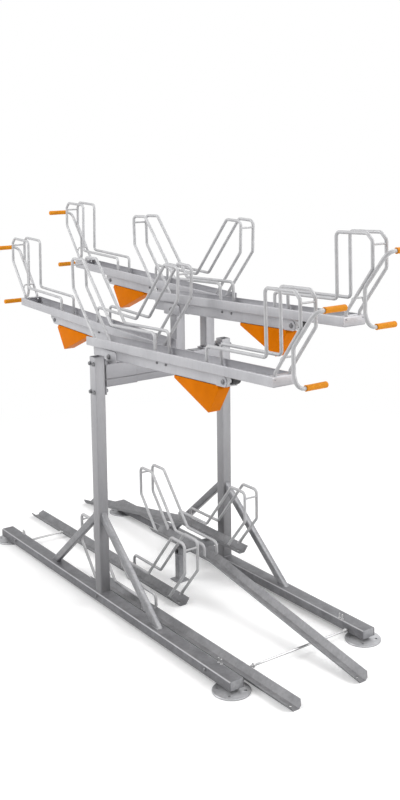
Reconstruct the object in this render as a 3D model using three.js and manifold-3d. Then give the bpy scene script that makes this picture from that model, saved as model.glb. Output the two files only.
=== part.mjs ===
// A double-sided two tier bike rack: two frames, a cross beam, four lower gutters and four
// upper trays that run out on rails and tip down. Lengths are in millimetres and Z is up.
// X runs along the bikes and Y along the row. The origin is on the floor, mid rack.
import * as THREE from "three";
import { mergeVertices } from "three/addons/utils/BufferGeometryUtils.js";
import Module from "manifold-3d";

const wasm = await Module();
wasm.setup();

// The row
const bikePitch = 400; // between bikes on one side
const lanePitch = bikePitch / 2; // sides take turns along the row
const beamToLane = 110; // from a foot beam to the lane next to it
const seatGap = 0.3;
const overrun = 4; // how far a cutter runs past what it cuts
const weldDepth = 0.5; // how far welded plates run into each other

// Foot beams and floor feet
const beamLength = 2350;
const beamWidth = 80;
const beamTop = 70;
const beamFlange = 45;
const beamSheet = 4;
const footDiameter = 180;
const footPlate = 8;
const footInset = 40;
const footStem = 30;
const footNutAcross = 46;
const footNutHeight = 12;
const footHole = 14;
const footHoleCircle = 130;

// Posts and braces
const postSize = 60;
const postWall = 4;
const postTop = 1355;
const braceDepth = 40;
const braceWidth = 30;
const braceWall = 3;
const braceFoot = 530;
const braceHead = 490;

// Cross beam between the posts
const crossBelowPostTop = 40;
const crossTop = postTop - crossBelowPostTop;
const crossHeight = 125;
const crossDepth = 60;
const crossWall = 3;
const crossEndPlate = 8;
const crossPlateRise = 25;
const crossPlateDrop = 40;
const crossBoltHole = 12;
const crossBoltHalfPitch = 18;
const crossBoltInset = 20;
const sleeveLength = 195;
const sleeveWall = 3;

// Lower gutters
const gutterReach = 1434;
const gutterInner = 285; // past the middle of the rack
const gutterFloorWidth = 36;
const gutterTopWidth = 86;
const gutterHeight = 32;
const gutterSheet = 3;
const gutterCornerRun = 20; // cut off the walls' ends
const gutterCornerFoot = 14;
const lowerLaneShift = 15;
const rampTop = 195;
const rampStart = 285;
const rampBend = 200;
const tieRodDiameter = 12;
const rightTieRodInset = 110; // from the end of a beam
const leftTieRodInset = 195;
const tieRodHeight = 34;

// Support arm of the raised gutters
const armSize = 40;
const armWall = 3;
const armFootSize = 80;
const armFootPlate = 6;

// Upper trays, measured from their outer end
const trayTilt = THREE.MathUtils.degToRad(2);
const trayReach = 1372;
const trayOverCross = 73; // underside of a low tray over the cross beam, mid rack
const trayBaseHeight = crossTop + trayOverCross;
const trayRise = 210; // high trays over low ones
const trayLength = 1560;
const trayWidth = 130;
const trayHeight = 47;
const traySheet = 3;
const trayLip = 8;
const endFlange = 30;

// Bent tubes
const guideTube = 16;
const guideHalfGap = 41;
const guideBend = 24;
const handleTube = 18;
const handleBend = 40;
const crossTube = 10;
const tubeSides = 8;
const bendStep = THREE.MathUtils.degToRad(46);

// Inner wheel guide, on the tray and on the gutter
const innerTop = 455;
const innerRun = 129;
const innerShoulder = 293;
const innerFoot = 1478;
const innerBack = 1720;
const innerCrown = 1600;
const innerSlopeEnd = 1331;
const innerFront = 921;
const innerCrossBar = 420;
const gutterGuideShift = 1320; // from its place on a tray
const gutterGuideFront = 1055;
const gutterGuideDrop = 32;
const gutterGuideShorter = 34; // at the back
const gutterGuideLower = 45; // at the top

// Outer wheel guide
const outerFoot = 493;
const outerRun = 117;
const outerUpright = 64;
const outerTop = 412;
const outerOverhang = 156;
const outerChamfer = 30;
const outerShoulder = 262;
const outerLanding = 10;
const outerKnee = 60;
const archHeight = 125;
const archShoulder = 93;
const archOut = 20;
const archInset = 11;
const outerCrossBar = 365;

// Handle and grips
const handleLowerOut = 127;
const handleLowerHeight = 8;
const handleFaceOut = 108;
const handleFaceFoot = 70;
const handleFaceTop = 180;
const handleUpperOut = 247;
const handleUpperHeight = 340;
const handleStub = 25; // bare tube left short of the grip's closed end
const gripDiameter = 28;
const gripStart = 4;
const gripLength = 118;
const gripRound = 4;
const gripSides = 12;
const crossTubeSides = 6;

// Guide rail
const railWidth = 66;
const railDepth = 58;
const railSheet = 3;
const railInner = 1540;
const railFloorEnd = 440;
const earRadius = 26;
const saddlePlate = 5;
const saddleLength = 150;
const saddleHeight = 62;
const saddleRound = 22;
const saddleBase = 6;
const saddleBoltHead = 26;
const saddleBoltHeight = 9;
const saddleBoltRise = 28;
const riserSize = 60;
const riserWall = 3;
const riserFlange = 96;
const riserFlangePlate = 8;

// Pivot block and roller
const pivotInset = 387;
const pivotDrop = 35;
const pinDiameter = 16;
const pinProud = 5;
const blockBack = 424;
const blockFront = 365;
const blockFloor = 57;
const blockTop = 2;
const rollerDiameter = 44;
const rollerWidth = 44;
const rollerInset = 345;
const rollerSide = 1;
const rollerRound = 3;
const axleDiameter = 12;
const cheekRadius = 13;
const rollerSides = 18;

// Cover under the end of the rail
const coverInner = 776;
const coverOuter = 433;
const coverHip = 422;
const coverHipDrop = 16;
const coverApex = 505;
const coverApexDrop = 138;
const coverBackDrop = 13;
const coverSheet = 2;

const halfRow = (3 * lanePitch) / 2 + beamToLane; // three spaces between four lanes
const blockWidth = railWidth - 2 * railSheet - 2 * seatGap;
const railTop = -seatGap;
const railBottom = railTop - railDepth;
const rollerCentre = -seatGap - rollerDiameter / 2;

// Finishes
const finish = (color, roughness, metalness) =>
  new THREE.MeshStandardMaterial({ color, roughness, metalness });
const zincGrey = finish(0x8e8e92, 0.5, 0.7);
const lightSteel = finish(0xbcbcc2, 0.42, 0.6);
const brightTube = finish(0xd0d0d4, 0.35, 0.6);
const orangeSheet = finish(0xd97800, 0.5, 0.1);
const orangeGrip = finish(0xff9a00, 0.55, 0);
const blackPlastic = finish(0x2b2b2e, 0.6, 0);

// Joins and cuts
function solidOf(geometry) {
  const bare = geometry.index ? geometry.toNonIndexed() : geometry.clone();
  bare.deleteAttribute("normal");
  bare.deleteAttribute("uv");
  const merged = mergeVertices(bare);
  return new wasm.Manifold(
    new wasm.Mesh({
      numProp: 3,
      vertProperties: merged.getAttribute("position").array,
      triVerts: new Uint32Array(merged.index.array),
    }),
  );
}

function geometryOf(solid) {
  const { vertProperties, triVerts, numProp } = solid.getMesh();
  const positions = new Float32Array(triVerts.length * 3);
  triVerts.forEach((vertex, i) => {
    const start = vertex * numProp;
    positions.set(vertProperties.subarray(start, start + 3), i * 3);
  });
  const geometry = new THREE.BufferGeometry();
  geometry.setAttribute("position", new THREE.BufferAttribute(positions, 3));
  geometry.computeVertexNormals();
  return geometry;
}

const joined = (...pieces) =>
  geometryOf(pieces.map(solidOf).reduce((sum, piece) => sum.add(piece)));

const withCuts = (body, ...cutters) =>
  geometryOf(cutters.map(solidOf).reduce((rest, cutter) => rest.subtract(cutter), solidOf(body)));

// Basic shapes
const shapeOf = (points) => new THREE.Shape(points.map(([x, y]) => new THREE.Vector2(x, y)));

const boxBetween = ([x0, x1], [y0, y1], [z0, z1]) =>
  new THREE.BoxGeometry(x1 - x0, y1 - y0, z1 - z0).translate(
    (x0 + x1) / 2,
    (y0 + y1) / 2,
    (z0 + z1) / 2,
  );

const about = (centre, size) => [centre - size / 2, centre + size / 2];

// A section in Y and Z, drawn out along X.
function alongX(section, [x0, x1]) {
  const drawn = new THREE.ExtrudeGeometry(section, { depth: x1 - x0, bevelEnabled: false });
  return drawn.rotateX(Math.PI / 2).rotateZ(Math.PI / 2).translate(x0, 0, 0);
}

// An outline in X and Z, given a width along Y.
function acrossY(outline, width, centre = 0) {
  const drawn = new THREE.ExtrudeGeometry(outline, {
    depth: width,
    bevelEnabled: false,
    curveSegments: 3,
  });
  return drawn.rotateX(Math.PI / 2).translate(0, centre + width / 2, 0);
}

const pegAlongY = (diameter, [y0, y1], x, z, sides = 12) =>
  new THREE.CylinderGeometry(diameter / 2, diameter / 2, y1 - y0, sides).translate(
    x,
    (y0 + y1) / 2,
    z,
  );

const pegAlongZ = (diameter, [z0, z1], x, y, sides = 12) =>
  new THREE.CylinderGeometry(diameter / 2, diameter / 2, z1 - z0, sides)
    .rotateX(Math.PI / 2)
    .translate(x, y, (z0 + z1) / 2);

// A folded sheet: an open line of points thickened to its left.
function foldedSheet(points, thickness) {
  const line = points.map(([x, y]) => new THREE.Vector2(x, y));
  const along = line.slice(1).map((point, i) => point.clone().sub(line[i]).normalize());
  const inner = line.map((point, i) => {
    const before = along[Math.max(i - 1, 0)];
    const after = along[Math.min(i, along.length - 1)];
    const middle = before.clone().add(after).normalize();
    const reach = thickness / middle.dot(after);
    return new THREE.Vector2(point.x - middle.y * reach, point.y + middle.x * reach);
  });
  return new THREE.Shape([...line, ...inner.reverse()]);
}

// Bent tubes: straight runs with a few steps round each bend
function bentStations(corners, bendRadius) {
  const points = corners.map((corner) => new THREE.Vector3(...corner));
  const stations = [points[0]];
  points.slice(1, -1).forEach((corner, i) => {
    const back = points[i].clone().sub(corner);
    const ahead = points[i + 2].clone().sub(corner);
    const turn = Math.PI - back.angleTo(ahead);
    const room = Math.min(back.length(), ahead.length()) / 2;
    const setback = Math.min(bendRadius * Math.tan(turn / 2), room);
    const start = corner.clone().add(back.setLength(setback));
    const end = corner.clone().add(ahead.setLength(setback));
    const bend = new THREE.QuadraticBezierCurve3(start, corner, end);
    stations.push(...bend.getPoints(Math.ceil(turn / bendStep)));
  });
  return [...stations, points.at(-1)];
}

class BentPath extends THREE.Curve {
  constructor(corners, bendRadius) {
    super();
    this.stations = bentStations(corners, bendRadius);
  }
  getPoint(t) {
    const last = this.stations.length - 1;
    const i = Math.min(Math.floor(t * last), last - 1);
    return this.stations[i].clone().lerp(this.stations[i + 1], t * last - i);
  }
  getPointAt(t) {
    return this.getPoint(t);
  }
  getTangentAt(t) {
    const last = this.stations.length - 1;
    const i = Math.round(t * last);
    const into = this.stations[i].clone().sub(this.stations[Math.max(i - 1, 0)]).normalize();
    const out = this.stations[Math.min(i + 1, last)].clone().sub(this.stations[i]).normalize();
    return into.add(out).normalize();
  }
}

function sweptAlong(section, corners, bendRadius) {
  const extrudePath = new BentPath(corners, bendRadius);
  const steps = extrudePath.stations.length - 1;
  return new THREE.ExtrudeGeometry(section, { extrudePath, steps });
}

function bentTube(corners, diameter, bendRadius) {
  const rim = Array.from({ length: tubeSides }, (_, i) => {
    const angle = (i / tubeSides) * 2 * Math.PI;
    return [(Math.cos(angle) * diameter) / 2, (Math.sin(angle) * diameter) / 2];
  });
  return sweptAlong(shapeOf(rim), corners, bendRadius);
}

const inPlane = (side, corners) => corners.map(([x, z]) => [x, side, z]);

// The scene graph
const rack = new THREE.Group();

function add(parent, name, geometry, material) {
  const mesh = new THREE.Mesh(geometry, material);
  mesh.name = name;
  parent.add(mesh);
  return mesh;
}

// Foot beam: a channel with its web on top and a flap folded down over each end
function footBeam() {
  const half = beamWidth / 2;
  const fold = [
    [half, beamTop - beamFlange],
    [half, beamTop],
    [-half, beamTop],
    [-half, beamTop - beamFlange],
  ];
  const flapWidth = beamWidth - 2 * beamSheet + 2 * weldDepth;
  const flapSpan = [beamTop - beamFlange + weldDepth, beamTop - weldDepth];
  const end = beamLength / 2;
  return joined(
    alongX(foldedSheet(fold, beamSheet), about(0, beamLength)),
    boxBetween([end - beamSheet, end], about(0, flapWidth), flapSpan),
    boxBetween([-end, beamSheet - end], about(0, flapWidth), flapSpan),
  );
}

// Floor foot: a drilled disc, a stem and a nut under the web of the beam
function floorFoot() {
  const holes = [0, 1, 2, 3].map((i) => {
    const angle = ((i + 0.5) * Math.PI) / 2;
    const x = (Math.cos(angle) * footHoleCircle) / 2;
    const y = (Math.sin(angle) * footHoleCircle) / 2;
    return pegAlongZ(footHole, [-overrun, footPlate + overrun], x, y, 8);
  });
  const stemTop = beamTop - beamSheet - seatGap;
  const disc = pegAlongZ(footDiameter, [0, footPlate], 0, 0, 28);
  const nut = pegAlongZ(footNutAcross, [footPlate - weldDepth, footPlate + footNutHeight], 0, 0, 6);
  const stem = pegAlongZ(footStem, [footPlate - weldDepth, stemTop], 0, 0);
  return withCuts(joined(disc, nut, stem), ...holes);
}

// Post: a square tube that stands on the web, open at the top
function post() {
  const inside = postSize - 2 * postWall;
  return withCuts(
    boxBetween(about(0, postSize), about(0, postSize), [beamTop, postTop]),
    boxBetween(about(0, inside), about(0, inside), [beamTop - overrun, postTop + overrun]),
  );
}

// Brace: a flat-sided tube from the post to the web, cut to seat on both
function brace() {
  const inset = postSize / 2 + seatGap;
  const slope = Math.atan2(braceHead - beamTop, braceFoot - inset);
  const length = Math.hypot(braceHead - beamTop, braceFoot - inset);
  const tube = (depth, width, run) =>
    boxBetween(about(0, run), about(0, width), about(0, depth))
      .rotateY(slope)
      .translate((inset + braceFoot) / 2, 0, (beamTop + braceHead) / 2);
  const longRun = length + 4 * braceDepth;
  const shell = withCuts(
    tube(braceDepth, braceWidth, longRun - 2 * braceDepth),
    tube(braceDepth - 2 * braceWall, braceWidth - 2 * braceWall, longRun),
  );
  const farSide = [braceFoot - longRun, inset];
  const below = [beamTop - longRun, beamTop];
  return withCuts(
    shell,
    boxBetween(farSide, about(0, 2 * braceWidth), [-longRun, longRun + braceHead]),
    boxBetween([-longRun, longRun + braceFoot], about(0, 2 * braceWidth), below),
  );
}

// Cross beam: a rectangular tube with a sleeve and a drilled plate at each end
function crossBeam() {
  const reach = halfRow - postSize / 2;
  const crossBottom = crossTop - crossHeight;
  const tube = (inset, topInset, span) =>
    boxBetween(
      about(0, crossDepth - 2 * inset),
      span,
      [crossBottom + inset, crossTop - topInset],
    );
  const plateTop = crossTop + crossPlateRise;
  const plateBottom = crossBottom - crossPlateDrop;
  const ends = [-1, 1].flatMap((side) => {
    const span = (from, to) => [side * from, side * to].sort((a, b) => a - b);
    const plateSpan = span(reach - crossEndPlate, reach);
    return [
      tube(0, 0, span(reach - sleeveLength, reach)),
      boxBetween(about(0, crossDepth), plateSpan, [plateBottom, plateTop]),
    ];
  });
  const bolts = [-1, 1].flatMap((side) =>
    [plateBottom + crossBoltInset, plateTop - crossBoltInset].map((z) =>
      pegAlongY(crossBoltHole, about(0, 2 * reach + overrun), side * crossBoltHalfPitch, z, 8),
    ),
  );
  const core = tube(sleeveWall, 0, about(0, 2 * reach - crossEndPlate));
  const walls = sleeveWall + crossWall;
  const hollow = tube(walls, crossWall, about(0, 2 * (reach - crossEndPlate)));
  const window = boxBetween(
    about(0, crossDepth / 2),
    about(0, 2 * reach + overrun),
    about((crossTop + crossBottom) / 2, crossHeight / 2),
  );
  return withCuts(joined(core, ...ends), hollow, window, ...bolts);
}

// Lower gutter: a flared trough, flat on the floor or up a ramp to a level run
const floorHalf = gutterFloorWidth / 2;
const topHalf = gutterTopWidth / 2;
const gutterSection = foldedSheet(
  [
    [-topHalf, gutterHeight],
    [-floorHalf, 0],
    [floorHalf, 0],
    [topHalf, gutterHeight],
  ],
  gutterSheet,
);

// The corners of its walls are cut off at the outer end, by a cut that runs past them.
const pastCornerShare = 3;

function corneredGutter(trough) {
  const run = pastCornerShare * gutterCornerRun;
  const rise = pastCornerShare * (gutterHeight - gutterCornerFoot);
  const corner = shapeOf([
    [gutterReach + gutterHeight, gutterCornerFoot],
    [gutterReach + gutterHeight, gutterCornerFoot + rise],
    [gutterReach - run, gutterCornerFoot + rise],
    [gutterReach, gutterCornerFoot],
  ]);
  return withCuts(trough, acrossY(corner, gutterTopWidth + overrun));
}

function lowGutter() {
  return corneredGutter(alongX(gutterSection, [-gutterInner, gutterReach]));
}

function raisedGutter() {
  const path = [
    [gutterReach, 0, 0],
    [rampStart, 0, rampTop],
    [-gutterInner, 0, rampTop],
  ];
  return corneredGutter(sweptAlong(gutterSection, path, rampBend));
}

// Lane of a bike along Y: level 0 is the low pair, 1 the high pair; side 1 faces +X.
const upperLane = (level, side) => (4 * level - 2 - side) * (lanePitch / 2);
const lowerLane = (level, side) => upperLane(level, side) + lowerLaneShift;

// Inner wheel guide: a pair of bent tubes and a cross bar, with feet cut to what it stands on
function innerGuide(front, shorter, lower, trough) {
  const back = innerBack - shorter;
  const crown = innerCrown - shorter;
  const top = innerTop - lower;
  const shoulder = innerShoulder - lower;
  const footSlope = (back - innerFoot) / shoulder;
  const corners = [
    [-innerFoot + guideTube * footSlope, -guideTube],
    [-back, shoulder],
    [-back, top],
    [-crown, top],
    [-innerSlopeEnd, innerRun],
    [-front, innerRun],
    [-front, -guideTube],
  ];
  const sides = [-guideHalfGap, guideHalfGap];
  const tubes = sides.map((side) => bentTube(inPlane(side, corners), guideTube, guideBend));
  const bar = pegAlongY(crossTube, sides, -back, innerCrossBar - lower, crossTubeSides);
  return withCuts(joined(...tubes, bar), trough);
}

function trayGuide() {
  const floor = boxBetween(
    [-innerBack, 0],
    about(0, trayWidth),
    [-2 * guideTube, traySheet + seatGap],
  );
  return innerGuide(innerFront, 0, 0, floor);
}

// The gutter's guide is shorter and lower, and stands on the flared walls.
function gutterGuide() {
  const rows = foldedSheet(
    [
      [-2 * topHalf + floorHalf, 2 * gutterHeight],
      [-floorHalf, 0],
      [floorHalf, 0],
      [2 * topHalf - floorHalf, 2 * gutterHeight],
    ],
    gutterSheet + seatGap,
  ).getPoints();
  const inside = rows.slice(rows.length / 2);
  const below = [
    new THREE.Vector2(-2 * topHalf, -2 * gutterHeight),
    new THREE.Vector2(2 * topHalf, -2 * gutterHeight),
  ];
  const under = alongX(new THREE.Shape([...inside, ...below]), [-innerBack, 0]);
  const trough = under.translate(0, 0, gutterGuideDrop);
  const hoop = innerGuide(gutterGuideFront, gutterGuideShorter, gutterGuideLower, trough);
  return hoop.translate(gutterGuideShift, 0, -gutterGuideDrop);
}

// Outer wheel guide with the handle tube welded outside one of its tubes, in one plane with it
function outerGuide() {
  const floor = traySheet + seatGap;
  const corners = [
    [-outerFoot, floor],
    [-outerFoot, outerRun],
    [-outerUpright, outerRun],
    [-outerUpright, outerTop],
    [outerOverhang - outerChamfer, outerTop],
    [outerOverhang, outerTop - outerChamfer],
    [outerOverhang, outerShoulder],
    [-outerLanding, outerKnee],
    [-outerLanding, trayHeight + seatGap],
  ];
  const sides = [-guideHalfGap, guideHalfGap];
  const tubes = sides.map((side) => bentTube(inPlane(side, corners), guideTube, guideBend));
  const archTop = guideHalfGap - archInset;
  const arch = [
    [archOut, -guideHalfGap, archShoulder],
    [archOut, -archTop, archHeight],
    [archOut, archTop, archHeight],
    [archOut, guideHalfGap, archShoulder],
  ];
  const gripEnd = gripStart + gripLength - handleStub;
  const handle = [
    [handleLowerOut, gripEnd, handleLowerHeight],
    [handleLowerOut, -guideHalfGap, handleLowerHeight],
    [handleFaceOut, -guideHalfGap, handleFaceFoot],
    [handleFaceOut, -guideHalfGap, handleFaceTop],
    [handleUpperOut, -guideHalfGap, handleUpperHeight],
    [handleUpperOut, gripEnd, handleUpperHeight],
  ];
  return joined(
    ...tubes,
    bentTube(arch, crossTube, archInset),
    pegAlongY(crossTube, sides, outerOverhang, outerCrossBar, crossTubeSides),
    bentTube(handle, handleTube, handleBend),
  );
}

// Grip: a closed sleeve over the end of the handle tube
function grip() {
  const outer = gripDiameter / 2;
  const bore = handleTube / 2 / Math.cos(Math.PI / gripSides) + seatGap;
  const depth = gripLength - handleStub + seatGap;
  const profile = [
    [bore, 0],
    [outer - gripRound, 0],
    [outer, gripRound],
    [outer, gripLength - gripRound],
    [outer - gripRound, gripLength],
    [0, gripLength],
    [0, depth],
    [bore, depth],
    [bore, 0],
  ];
  const points = profile.map(([x, y]) => new THREE.Vector2(x, y));
  return new THREE.LatheGeometry(points, gripSides).translate(0, gripStart, 0);
}

// Tray: a shallow channel with lips and a folded end plate
function tray() {
  const half = trayWidth / 2;
  const fold = [
    [-half + trayLip, trayHeight],
    [-half, trayHeight],
    [-half, 0],
    [half, 0],
    [half, trayHeight],
    [half - trayLip, trayHeight],
  ];
  const channel = alongX(foldedSheet(fold, traySheet), [-trayLength, 0]);
  const inside = half - traySheet + weldDepth;
  const lipUnder = trayHeight - traySheet;
  const plate = boxBetween([-traySheet, 0], [-inside, inside], [weldDepth, trayHeight]);
  const flange = boxBetween([-endFlange, -weldDepth], [-inside, inside], [lipUnder, trayHeight]);
  return joined(channel, plate, flange);
}

// Guide rail: an open channel with ears round the pivot, in the tray's own frame
function railChannel() {
  const half = railWidth / 2;
  const fold = [
    [-half, railTop],
    [-half, railBottom],
    [half, railBottom],
    [half, railTop],
  ];
  const ear = new THREE.Shape();
  ear.moveTo(-blockBack, railTop);
  ear.lineTo(-railFloorEnd - overrun, railTop);
  ear.lineTo(-railFloorEnd - overrun, railBottom);
  ear.lineTo(-pivotInset, -pivotDrop - earRadius + overrun);
  ear.absarc(-pivotInset, -pivotDrop, earRadius, -Math.PI / 3, Math.PI / 2, false);
  ear.lineTo(-blockBack, railTop);
  const ears = [-1, 1].map((side) =>
    acrossY(ear, railSheet, side * (half - railSheet / 2)),
  );
  const channel = alongX(foldedSheet(fold, railSheet), [-railInner, -railFloorEnd]);
  const pinHole = pegAlongY(
    pinDiameter + 2 * seatGap,
    about(0, railWidth + overrun),
    -pivotInset,
    -pivotDrop,
  );
  return withCuts(joined(channel, ...ears), pinHole);
}

// Saddle: two cheeks with a big bolt and a base, level on the beam or on a riser
function saddle(base) {
  const cheek = new THREE.Shape();
  const back = -saddleLength / 2;
  const front = saddleLength / 2;
  const top = base + saddleHeight;
  cheek.moveTo(back, base);
  cheek.lineTo(front - saddleRound, base);
  cheek.absarc(front - saddleRound, base + saddleRound, saddleRound, -Math.PI / 2, 0, false);
  cheek.absarc(front - saddleRound, top - saddleRound, saddleRound, 0, Math.PI / 2, false);
  cheek.lineTo(back, top);
  const outside = railWidth / 2 - weldDepth;
  const cheeks = [-1, 1].map((side) =>
    acrossY(cheek, saddlePlate, side * (outside + saddlePlate / 2)),
  );
  const width = 2 * (outside + saddlePlate);
  return [
    ...cheeks,
    boxBetween(about(0, crossDepth), about(0, width - weldDepth), [base, base + saddleBase]),
    pegAlongY(saddleBoltHead, about(0, width + 2 * saddleBoltHeight), 0, base + saddleBoltRise, 6),
  ];
}

// Riser: a square tube with a foot plate, under the saddle of a high rail
function riser() {
  const inside = riserSize - 2 * riserWall;
  const top = crossTop + trayRise;
  const hole = boxBetween(about(0, inside), about(0, inside), [crossTop - overrun, top - riserWall]);
  return withCuts(
    joined(
      boxBetween(about(0, riserSize), about(0, riserSize), [crossTop, top + weldDepth]),
      boxBetween(about(0, riserSize), about(0, riserFlange), [
        crossTop,
        crossTop + riserFlangePlate,
      ]),
    ),
    hole,
  );
}

// Places the tray's own frame, whose origin is its outer end, in the lane's frame.
function trayFrame(level) {
  const tilt = new THREE.Matrix4().makeRotationY(-trayTilt);
  const outward = new THREE.Matrix4().makeTranslation(trayReach / Math.cos(trayTilt), 0, 0);
  const height = trayBaseHeight + level * trayRise;
  return new THREE.Matrix4().makeTranslation(0, 0, height).multiply(tilt).multiply(outward);
}

function rail(level) {
  const base = crossTop + level * trayRise;
  const channel = railChannel().applyMatrix4(trayFrame(level));
  const pieces = [channel, ...saddle(base)];
  if (level) pieces.push(riser());
  return joined(...pieces);
}

// Pivot block: a body between the ears, with its hinge pin and the roller's axle
function pivotBlock() {
  const outline = new THREE.Shape();
  outline.moveTo(-blockBack, -blockTop);
  outline.lineTo(-blockBack, -blockFloor);
  outline.lineTo(-blockFront, -blockFloor);
  outline.lineTo(-rollerInset, rollerCentre - cheekRadius);
  outline.absarc(-rollerInset, rollerCentre, cheekRadius, -Math.PI / 2, Math.PI / 2, false);
  outline.lineTo(-blockFront, -blockTop);
  const slotBack = -rollerInset - rollerDiameter / 2 - overrun / 2;
  const slotWidth = rollerWidth + 2 * rollerSide;
  const slot = boxBetween([slotBack, 0], about(0, slotWidth), [-2 * railDepth, railDepth]);
  const body = withCuts(acrossY(outline, blockWidth), slot);
  const axleSpan = about(0, slotWidth + 2 * weldDepth);
  return joined(
    body,
    pegAlongY(pinDiameter, about(0, railWidth + 2 * pinProud), -pivotInset, -pivotDrop),
    pegAlongY(axleDiameter, axleSpan, -rollerInset, rollerCentre, 10),
  );
}

// Roller: a grooved wheel on the axle of the block
function roller() {
  const bore = axleDiameter / 2 + seatGap;
  const rim = rollerDiameter / 2;
  const half = rollerWidth / 2;
  const profile = [
    [bore, -half],
    [rim - rollerRound, -half],
    [rim, -half + rollerRound],
    [rim, half - rollerRound],
    [rim - rollerRound, half],
    [bore, half],
    [bore, -half],
  ];
  const points = profile.map(([x, y]) => new THREE.Vector2(x, y));
  return new THREE.LatheGeometry(points, rollerSides).translate(-rollerInset, 0, rollerCentre);
}

// Cover: a folded shell under the rail, open at the top
function cover() {
  const top = railBottom - seatGap;
  const outline = [
    [-coverInner, top],
    [-coverInner, top - coverBackDrop],
    [-coverApex, top - coverApexDrop],
    [-coverHip, top - coverHipDrop],
    [-coverOuter, top],
  ];
  const skin = foldedSheet(outline, coverSheet);
  const outside = skin.getPoints().slice(0, outline.length);
  const inside = skin.getPoints().slice(outline.length);
  const openTop = [
    ...inside,
    new THREE.Vector2(inside.at(-1).x, top + overrun),
    new THREE.Vector2(inside[0].x, top + overrun),
  ];
  return withCuts(
    acrossY(new THREE.Shape(outside), railWidth),
    acrossY(new THREE.Shape(openTop), railWidth - 2 * coverSheet),
  );
}

// Two frames
for (const [name, side] of [
  ["near", -1],
  ["far", 1],
]) {
  const frame = new THREE.Group();
  frame.position.y = side * halfRow;
  rack.add(frame);
  add(frame, "foot_beam_" + name, footBeam(), zincGrey);
  add(frame, "post_" + name, post(), lightSteel);
  for (const [end, turn] of [
    ["right", 0],
    ["left", Math.PI],
  ]) {
    const half = new THREE.Group();
    half.rotation.z = turn;
    frame.add(half);
    add(half, "brace_" + name + "_" + end, brace(), zincGrey);
    const foot = add(half, "floor_foot_" + name + "_" + end, floorFoot(), zincGrey);
    foot.position.x = beamLength / 2 - footInset;
  }
}

// What joins the frames
add(rack, "cross_beam", crossBeam(), lightSteel);

const farFace = halfRow - postSize / 2 - seatGap;
const armEnd = lowerLane(1, 1) - gutterTopWidth / 2;
const armInside = armSize - 2 * armWall;
const armTop = rampTop - seatGap;
const arm = withCuts(
  joined(
    boxBetween(about(0, armSize), [armEnd, farFace], [armTop - armSize, armTop]),
    boxBetween(about(0, armSize), [armEnd, armEnd + armSize], [0, armTop]),
    boxBetween(about(0, armFootSize), about(armEnd + armSize / 2, armFootSize), [0, armFootPlate]),
  ),
  boxBetween(
    about(0, armInside),
    [armEnd - overrun, farFace + overrun],
    [armTop - armSize + armWall, armTop - armWall],
  ),
);
add(rack, "support_arm", arm, zincGrey);

const beamFace = halfRow - beamWidth / 2 - seatGap;
const gutterWall = gutterTopWidth / 2 + seatGap;
for (const [name, at, from, to] of [
  ["right", beamLength / 2 - rightTieRodInset, lowerLane(0, 1) + gutterWall, beamFace],
  ["left", leftTieRodInset - beamLength / 2, -beamFace, lowerLane(0, -1) - gutterWall],
]) {
  const rod = pegAlongY(tieRodDiameter, [from, to], at, tieRodHeight);
  add(rack, "tie_rod_" + name, rod, zincGrey);
}

// The two tiers
for (const [name, level, side] of [
  ["right_low", 0, 1],
  ["left_low", 0, -1],
  ["right_high", 1, 1],
  ["left_high", 1, -1],
]) {
  const lower = new THREE.Group();
  lower.position.y = lowerLane(level, side);
  lower.rotation.z = side > 0 ? 0 : Math.PI;
  rack.add(lower);
  add(lower, "lower_gutter_" + name, level ? raisedGutter() : lowGutter(), zincGrey);
  const guide = add(lower, "lower_wheel_guide_" + name, gutterGuide(), brightTube);
  guide.position.z = level * rampTop;

  const upper = new THREE.Group();
  upper.position.y = upperLane(level, side);
  upper.rotation.z = side > 0 ? 0 : Math.PI;
  rack.add(upper);
  add(upper, "rail_" + name, rail(level), lightSteel);
  const own = new THREE.Group();
  own.applyMatrix4(trayFrame(level));
  upper.add(own);
  add(own, "cover_" + name, cover(), orangeSheet);
  add(own, "pivot_block_" + name, pivotBlock(), lightSteel);
  add(own, "roller_" + name, roller(), blackPlastic);
  add(own, "tray_" + name, tray(), lightSteel);
  add(own, "inner_guide_" + name, trayGuide(), brightTube);
  add(own, "outer_guide_" + name, outerGuide(), brightTube);
  const upperGrip = add(own, "upper_grip_" + name, grip(), orangeGrip);
  upperGrip.position.set(handleUpperOut, 0, handleUpperHeight);
  const lowerGrip = add(own, "lower_grip_" + name, grip(), orangeGrip);
  lowerGrip.position.set(handleLowerOut, 0, handleLowerHeight);
}

export default rack;
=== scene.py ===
# A double-sided two tier bike rack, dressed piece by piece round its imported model.
# Lengths are in metres and Z is up. X runs along the trays and Y along the row.
import math

import bmesh
import bpy
from mathutils import Matrix, Vector


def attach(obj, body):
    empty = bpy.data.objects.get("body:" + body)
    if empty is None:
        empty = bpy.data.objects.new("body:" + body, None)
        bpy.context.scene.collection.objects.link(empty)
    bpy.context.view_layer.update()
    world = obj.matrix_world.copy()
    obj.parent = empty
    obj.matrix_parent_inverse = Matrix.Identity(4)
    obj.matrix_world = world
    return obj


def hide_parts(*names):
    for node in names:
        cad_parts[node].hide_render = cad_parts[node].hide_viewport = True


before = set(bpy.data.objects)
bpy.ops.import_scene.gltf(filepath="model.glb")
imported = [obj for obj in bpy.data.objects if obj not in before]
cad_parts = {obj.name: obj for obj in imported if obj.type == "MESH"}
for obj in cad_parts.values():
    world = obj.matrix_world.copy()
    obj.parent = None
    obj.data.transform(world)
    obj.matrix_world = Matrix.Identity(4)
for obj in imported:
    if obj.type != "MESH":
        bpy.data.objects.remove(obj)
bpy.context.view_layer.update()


# The camera stands off the near right corner, a little higher than the rack, where the
# photograph was taken from. It looks slightly down, with the picture slid below its axis.
camera_place = (4.618, -3.057, 2.443)
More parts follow.
